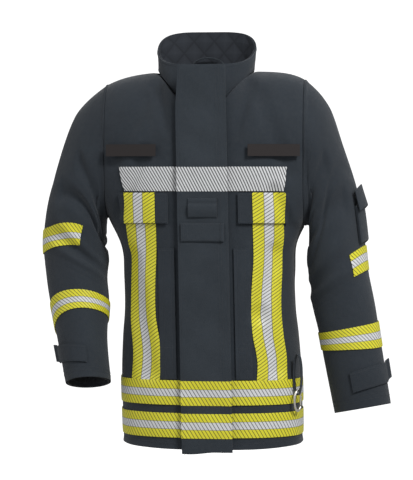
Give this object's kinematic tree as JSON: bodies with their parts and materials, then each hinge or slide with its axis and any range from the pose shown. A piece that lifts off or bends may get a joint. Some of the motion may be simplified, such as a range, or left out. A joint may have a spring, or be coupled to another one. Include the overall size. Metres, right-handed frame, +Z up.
{
  "type": "turnout coat",
  "caption": "Hip-length firefighting turnout coat with a stand-up collar, zip under a storm flap, reflective tapes, chest pocket flaps and a carabiner loop.",
  "frame": {"origin": "the top of the hanger loop inside the back of the collar", "axes": "+Z up, -Y out of the front of the coat, +X to the wearer's left"},
  "size_m": [0.7466, 0.2703, 0.8874],
  "materials": {
    "shell_cloth": "matt twill",
    "liner_cloth": "quilted, matt",
    "yellow_tape": "fluorescent yellow with silver middle",
    "silver_tape": "retroreflective silver",
    "hook_and_loop": "fleecy",
    "steel": "satin",
    "zip_black": "satin",
    "knit": "ribbed knit"
  },
  "bodies": {
    "coat": {"back_liner": "liner_cloth", "back_shell": "shell_cloth", "chest_band_left": "silver_tape", "chest_band_right": "silver_tape", "collar_lining": "liner_cloth", "collar_shell": "shell_cloth", "hanger_loop": "shell_cloth", "hem_band_lower_left": "yellow_tape", "hem_band_lower_right": "yellow_tape", "hem_band_upper_left": "yellow_tape", "hem_band_upper_right": "yellow_tape", "left_front_liner": "liner_cloth", "left_front_shell": "shell_cloth", "left_hand_pocket": "shell_cloth", "left_name_strip": "hook_and_loop", "left_stripe": "yellow_tape", "loop_strip": "hook_and_loop", "right_front_liner": "liner_cloth", "right_front_shell": "shell_cloth", "right_hand_pocket": "shell_cloth", "right_name_strip": "hook_and_loop", "right_stripe": "yellow_tape", "webbing_loop": "shell_cloth", "zip_bottom_box": "steel", "zip_tape_left": "zip_black", "zip_tape_right": "zip_black"},
    "storm_flap_body": {"storm_flap": "shell_cloth", "hook_strip": "hook_and_loop", "chest_band_flap": "silver_tape", "hem_band_upper_flap": "yellow_tape", "hem_band_lower_flap": "yellow_tape", "radio_keeper": "shell_cloth"},
    "radio_strap_body": {"radio_strap": "shell_cloth"},
    "zip_slider_body": {"zip_slider": "steel", "zip_pull": "steel"},
    "carabiner": {"carabiner_body": "steel"},
    "gate": {"carabiner_gate": "steel"},
    "left_upper_arm": {"left_upper_sleeve": "shell_cloth", "left_upper_sleeve_liner": "liner_cloth", "left_upper_band": "yellow_tape", "left_sleeve_pocket": "shell_cloth"},
    "left_forearm_body": {"left_forearm": "shell_cloth", "left_forearm_liner": "liner_cloth", "left_forearm_band": "yellow_tape", "left_wristlet": "knit"},
    "left_cuff_strap_body": {"left_cuff_strap": "shell_cloth"},
    "left_pocket_flap_body": {"left_pocket_flap": "shell_cloth", "left_flap_stripe": "yellow_tape"},
    "right_upper_arm": {"right_upper_sleeve": "shell_cloth", "right_upper_sleeve_liner": "liner_cloth", "right_upper_band": "yellow_tape"},
    "right_forearm_body": {"right_forearm": "shell_cloth", "right_forearm_liner": "liner_cloth", "right_forearm_band": "yellow_tape", "right_wristlet": "knit"},
    "right_cuff_strap_body": {"right_cuff_strap": "shell_cloth"},
    "right_pocket_flap_body": {"right_pocket_flap": "shell_cloth", "right_flap_stripe": "yellow_tape"},
    "sleeve_flap_body": {"left_sleeve_pocket_flap": "shell_cloth"}
  },
  "joints": [
    {"name": "storm_flap_swing", "type": "hinge", "parent": "coat", "child": "storm_flap_body", "pos_m": [0.05945, -0.17159, -0.44626], "axis": [-0.0239, 0.04, 0.9989], "range_deg": [0, 100]},
    {"name": "radio_strap_open", "type": "hinge", "parent": "storm_flap_body", "child": "radio_strap_body", "pos_m": [0.04868, -0.17293, -0.37244], "axis": [-0.0239, 0.04, 0.9989], "range_deg": [0, 90]},
    {"name": "zip_slide", "type": "slide", "parent": "coat", "child": "zip_slider_body", "axis": [0.0239, -0.04, -0.9989], "range_m": [0, 0.7]},
    {"name": "left_sleeve_swing", "type": "hinge", "parent": "coat", "child": "left_upper_arm", "pos_m": [0.211, -0.043, -0.198], "axis": [-1, 0, 0], "range_deg": [-15, 60]},
    {"name": "left_elbow_bend", "type": "hinge", "parent": "left_upper_arm", "child": "left_forearm_body", "pos_m": [0.28903, -0.11592, -0.50121], "axis": [-0.8529, 0, -0.5221], "range_deg": [0, 60]},
    {"name": "left_cuff_strap_open", "type": "hinge", "parent": "left_forearm_body", "child": "left_cuff_strap_body", "pos_m": [0.38857, -0.0689, -0.6727], "axis": [-0.1631, 0.081, 0.9833], "range_deg": [0, 50]},
    {"name": "left_pocket_flap_lift", "type": "hinge", "parent": "coat", "child": "left_pocket_flap_body", "pos_m": [0.13816, -0.15622, -0.29057], "axis": [-0.9776, -0.2102, 0], "range_deg": [0, 110]},
    {"name": "right_sleeve_swing", "type": "hinge", "parent": "coat", "child": "right_upper_arm", "pos_m": [-0.211, -0.043, -0.202], "axis": [-1, 0, 0], "range_deg": [-15, 60]},
    {"name": "right_elbow_bend", "type": "hinge", "parent": "right_upper_arm", "child": "right_forearm_body", "pos_m": [-0.27179, -0.12388, -0.45688], "axis": [-0.9018, 0, 0.4321], "range_deg": [0, 60]},
    {"name": "right_cuff_strap_open", "type": "hinge", "parent": "right_forearm_body", "child": "right_cuff_strap_body", "pos_m": [-0.30907, -0.11118, -0.64068], "axis": [0.2227, -0.2523, -0.9417], "range_deg": [0, 50]},
    {"name": "right_pocket_flap_lift", "type": "hinge", "parent": "coat", "child": "right_pocket_flap_body", "pos_m": [-0.13269, -0.15622, -0.29065], "axis": [-0.9776, 0.2102, 0], "range_deg": [0, 110]},
    {"name": "sleeve_pocket_flap_lift", "type": "hinge", "parent": "left_upper_arm", "child": "sleeve_flap_body", "pos_m": [0.3307, -0.04709, -0.27518], "axis": [-0.0335, -0.9992, 0.0203], "range_deg": [0, 70]},
    {"name": "carabiner_swing", "type": "hinge", "parent": "coat", "child": "carabiner", "pos_m": [0.20032, -0.12426, -0.70557], "axis": [-0.5522, -0.8337, 0], "range_deg": [0, 50]},
    {"name": "carabiner_gate_open", "type": "hinge", "parent": "carabiner", "child": "gate", "pos_m": [0.20559, -0.11631, -0.73714], "axis": [0.8337, -0.5522, 0], "range_deg": [0, 25], "stiffness_Nm_per_rad": 0.002}
  ]
}
